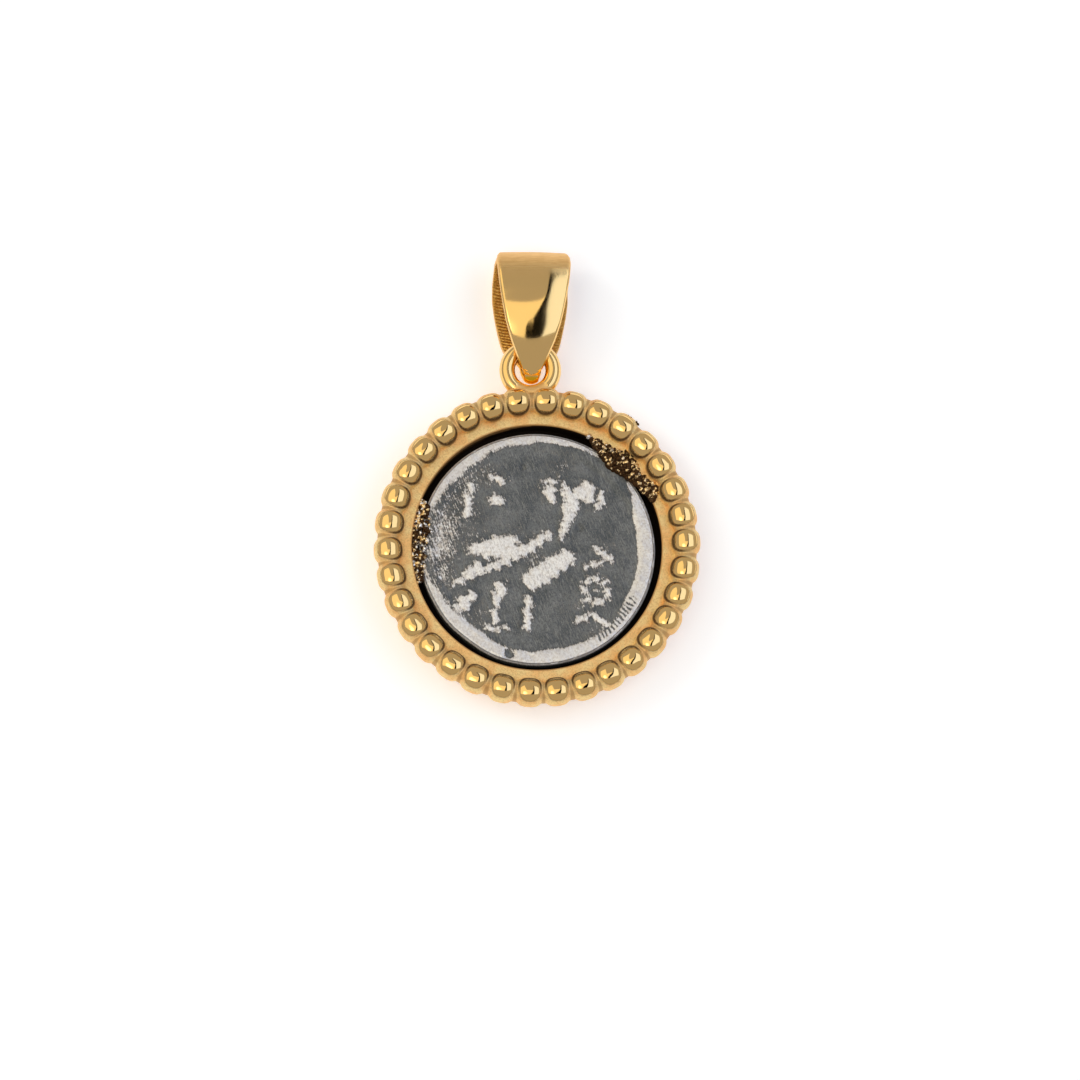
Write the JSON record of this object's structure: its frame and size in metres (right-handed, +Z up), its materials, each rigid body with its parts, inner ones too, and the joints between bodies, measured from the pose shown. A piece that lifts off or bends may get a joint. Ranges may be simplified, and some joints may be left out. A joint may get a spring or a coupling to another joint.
{
  "type": "coin pendant",
  "caption": "Round worn silver coin in a beaded gold bezel with a soldered ring and a tapered bail, lying face down with its back up.",
  "frame": {"origin": "middle of the pendant's footprint, on the surface that it lies on", "axes": "+Y along the pendant from the coin towards the bail, +Z up out of the back of the coin, +X across"},
  "size_m": [0.0182, 0.026, 0.0037],
  "materials": {
    "gold": "cast yellow gold, polished on the beads, ring and bail and satin in the creases and on the flat rim",
    "silver": "worn silver with a dark slate tone in the field"
  },
  "bodies": {
    "root": {"bezel": "gold", "coin": "silver", "bail": "gold"}
  },
  "joints": []
}
